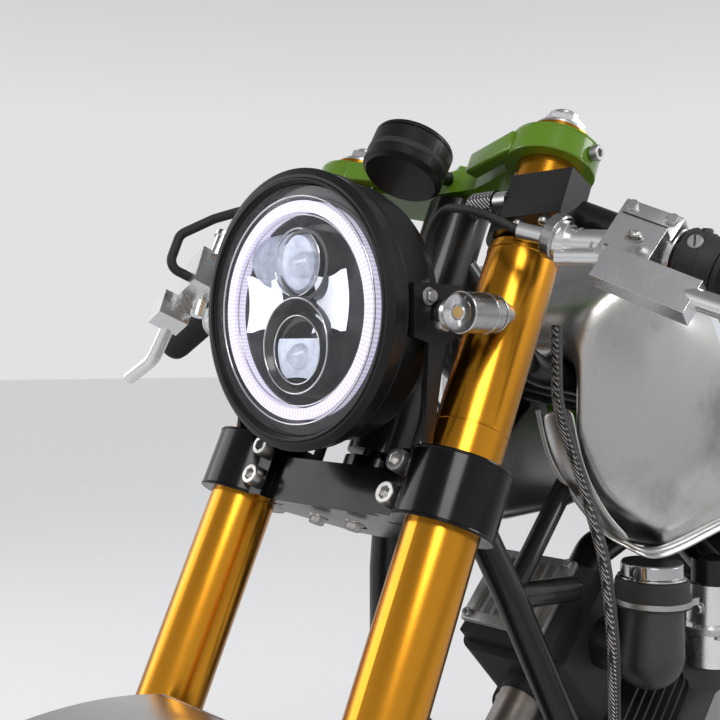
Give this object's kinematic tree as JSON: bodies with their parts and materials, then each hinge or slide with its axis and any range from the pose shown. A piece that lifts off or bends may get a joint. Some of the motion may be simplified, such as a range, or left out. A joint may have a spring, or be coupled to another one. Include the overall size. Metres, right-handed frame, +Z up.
{
  "type": "cafe racer motorcycle",
  "caption": "Naked cafe racer motorcycle with a round LED headlamp, clip-on bars, telescopic fork, bare steel tank, air-cooled V-twin, chain drive and humped solo seat.",
  "frame": {"origin": "centre of the bounding box's base, on the floor midway along and across", "axes": "+X towards the front wheel, +Y towards the rider's left, +Z up"},
  "size_m": [2.042, 0.7594, 1.0352],
  "materials": {
    "frame_black": "gloss",
    "yoke_black": "gloss",
    "yoke_green": "gloss",
    "fork_gold": "satin",
    "stanchion_steel": "polished",
    "machined_alloy": "satin",
    "cast_alloy": "rough",
    "bare_steel": "brushed",
    "cylinder_black": "satin",
    "wheel_black": "satin",
    "tyre_rubber": "matt",
    "black_rubber": "matt",
    "disc_steel": "brushed",
    "chain_steel": "satin",
    "exhaust_steel": "satin",
    "lamp_black": "satin",
    "lamp_inner": "gloss",
    "lens_clear": "polished",
    "halo_white": "satin",
    "tail_red": "gloss",
    "tank_steel": "brushed",
    "seat_leather": "satin",
    "control_plastic": "matt"
  },
  "bodies": {
    "frame": {"frame": "frame_black", "subframe": "frame_black", "engine_cases": "cast_alloy", "front_cylinder": "cylinder_black", "rear_cylinder": "cylinder_black", "manifold": "frame_black", "carburettor": "machined_alloy", "intake_elbow": "machined_alloy", "exhaust_pipes": "exhaust_steel", "silencer": "exhaust_steel", "fuel_tank": "tank_steel", "fuel_cap": "machined_alloy", "seat_pad": "seat_leather", "tail_unit": "tank_steel", "tail_light": "tail_red", "swingarm": "frame_black", "rear_axle": "bare_steel", "rear_caliper": "frame_black", "shocks": "bare_steel", "chain": "chain_steel", "rearsets": "machined_alloy", "loom_hose": "black_rubber"},
    "fork": {"lower_yoke": "yoke_black", "top_yoke": "yoke_green", "fork_tubes": "fork_gold", "fork_legs": "stanchion_steel", "fork_caps": "machined_alloy", "front_axle": "bare_steel", "front_calipers": "frame_black", "front_mudguard": "tank_steel", "headlight_shell": "lamp_black", "headlight_rim": "lamp_black", "lamp_unit": "lamp_inner", "lamp_lenses": "lens_clear", "lamp_halo": "halo_white", "lamp_brackets": "lamp_black", "indicators": "lamp_black", "clip_ons": "frame_black", "grips": "black_rubber", "clutch_lever": "machined_alloy", "brake_lever": "machined_alloy", "switches": "control_plastic", "instrument": "lamp_black", "brake_hose": "black_rubber", "clutch_cable": "black_rubber"},
    "front_wheel": {"front_rim": "wheel_black", "front_tyre": "tyre_rubber", "front_discs": "disc_steel"},
    "rear_wheel": {"rear_rim": "wheel_black", "rear_tyre": "tyre_rubber", "rear_disc": "disc_steel", "rear_sprocket": "bare_steel"},
    "stand": {"centre_stand": "frame_black"}
  },
  "joints": [
    {"name": "steering", "type": "hinge", "parent": "frame", "child": "fork", "pos_m": [0.49473, 0, 0.70848], "axis": [-0.4274, 0, 0.9041], "range_deg": [-28, 28]},
    {"name": "front_wheel_spin", "type": "hinge", "parent": "fork", "child": "front_wheel", "pos_m": [0.721, 0, 0.3], "axis": [0, 1, 0], "continuous": true},
    {"name": "rear_wheel_spin", "type": "hinge", "parent": "frame", "child": "rear_wheel", "pos_m": [-0.709, 0, 0.324], "axis": [0, 1, 0], "continuous": true},
    {"name": "stand_fold", "type": "hinge", "parent": "frame", "child": "stand", "pos_m": [-0.14, 0, 0.195], "axis": [0, 1, 0], "range_deg": [0, 80]}
  ]
}
